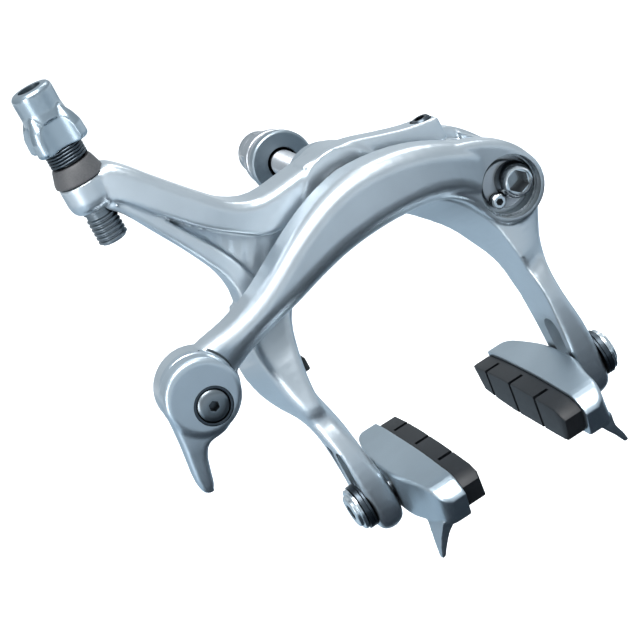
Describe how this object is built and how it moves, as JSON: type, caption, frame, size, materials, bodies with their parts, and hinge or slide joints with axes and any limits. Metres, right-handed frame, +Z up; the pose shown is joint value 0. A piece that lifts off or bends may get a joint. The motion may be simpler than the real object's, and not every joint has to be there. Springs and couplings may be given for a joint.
{
  "type": "dual-pivot rim brake caliper",
  "caption": "Side-pull dual-pivot bicycle rim brake caliper with quick release, barrel adjuster, cartridge pads and a long centre bolt.",
  "frame": {"origin": "on the centre bolt's axis, in the rear face of the arm bracket", "axes": "+X right seen from the front, +Y back along the centre bolt towards the fork crown, +Z up"},
  "size_m": [0.0986, 0.0974, 0.1248],
  "materials": {
    "arm_alloy": "satin silver anodised forging",
    "small_alloy": "satin silver anodised turned part",
    "lever_alloy": "satin blue-grey anodised",
    "holder_alloy": "fine grained cast alloy",
    "steel": "zinc plated steel",
    "dark_steel": "blackened steel",
    "bright_steel": "bright nickel plate",
    "bronze": "sintered oiled bronze",
    "nylon": "moulded black nylon",
    "rubber": "moulded slate-black brake rubber"
  },
  "bodies": {
    "frame": {"arm_bracket": "small_alloy", "centre_bolt": "steel", "centre_nut": "steel", "centre_washer": "steel", "thrust_washer": "steel", "crown_gripper": "steel", "crown_washer": "small_alloy", "spacer_washer": "steel", "lock_nut": "steel", "pivot_bolt": "bright_steel", "pivot_set_screw": "steel", "return_spring": "steel"},
    "front_arm": {"c_arm": "arm_alloy", "pivot_bush": "bronze", "pivot_ring": "bright_steel", "cam_plate": "steel", "right_spring_slider": "nylon", "cable_anchor_bolt": "dark_steel", "cable_anchor_plate": "small_alloy", "cable_anchor_nut": "steel", "quick_release_ring": "dark_steel"},
    "rear_arm": {"y_arm": "arm_alloy", "centre_bush": "bronze", "left_spring_slider": "nylon", "adjuster_seat": "nylon", "adjuster_spring": "dark_steel"},
    "release_lever": {"quick_release_lever": "lever_alloy"},
    "centring": {"centring_screw": "dark_steel"},
    "barrel": {"adjuster_barrel": "steel"},
    "knob": {"adjuster_knob": "small_alloy"},
    "left_fixing": {"left_pad_bolt": "bright_steel", "left_pad_washer": "dark_steel"},
    "left_block": {"left_shoe": "holder_alloy", "left_pad": "rubber"},
    "right_fixing": {"right_pad_bolt": "bright_steel", "right_pad_washer": "dark_steel"},
    "right_block": {"right_shoe": "holder_alloy", "right_pad": "rubber"}
  },
  "joints": [
    {"name": "front_arm_swing", "type": "hinge", "parent": "frame", "child": "front_arm", "pos_m": [0.03, -0.01, -0.016], "axis": [0, 1, 0], "range_deg": [0, 8], "stiffness_Nm_per_rad": 1.2, "springref_deg": -20.05},
    {"name": "rear_arm_swing", "type": "hinge", "parent": "frame", "child": "rear_arm", "pos_m": [0, -0.01, 0], "axis": [0, 1, 0], "range_deg": [-6, 0]},
    {"name": "release_lever_turn", "type": "hinge", "parent": "front_arm", "child": "release_lever", "pos_m": [-0.0497, -0.03, -0.019], "axis": [0, 1, 0], "range_deg": [0, 90]},
    {"name": "centring_screw_turn", "type": "hinge", "parent": "rear_arm", "child": "centring", "pos_m": [0.0223, -0.012, 0], "axis": [0, 0, 1], "range_deg": [-180, 180]},
    {"name": "barrel_travel", "type": "slide", "parent": "rear_arm", "child": "barrel", "axis": [0, 0, 1], "range_m": [0, 0.005], "deforming": ["adjuster_spring"]},
    {"name": "knob_turn", "type": "hinge", "parent": "barrel", "child": "knob", "pos_m": [-0.0472, -0.009, 0.045], "axis": [0, 0, 1], "range_deg": [0, 1800]},
    {"name": "left_pad_height", "type": "slide", "parent": "rear_arm", "child": "left_fixing", "axis": [0, 0, 1], "range_m": [0, 0.01]},
    {"name": "left_pad_tilt", "type": "hinge", "parent": "left_fixing", "child": "left_block", "pos_m": [-0.024, -0.022, -0.06], "axis": [1, 0, 0], "range_deg": [-8, 8]},
    {"name": "right_pad_height", "type": "slide", "parent": "front_arm", "child": "right_fixing", "axis": [0, 0, 1], "range_m": [0, 0.01]},
    {"name": "right_pad_tilt", "type": "hinge", "parent": "right_fixing", "child": "right_block", "pos_m": [0.024, -0.022, -0.06], "axis": [1, 0, 0], "range_deg": [-8, 8]}
  ],
  "couplings": [
    {"joint": "rear_arm_swing", "follows": "front_arm_swing", "ratio": -0.73},
    {"joint": "knob_turn", "follows": "barrel_travel", "rad_per_m": 6283}
  ]
}
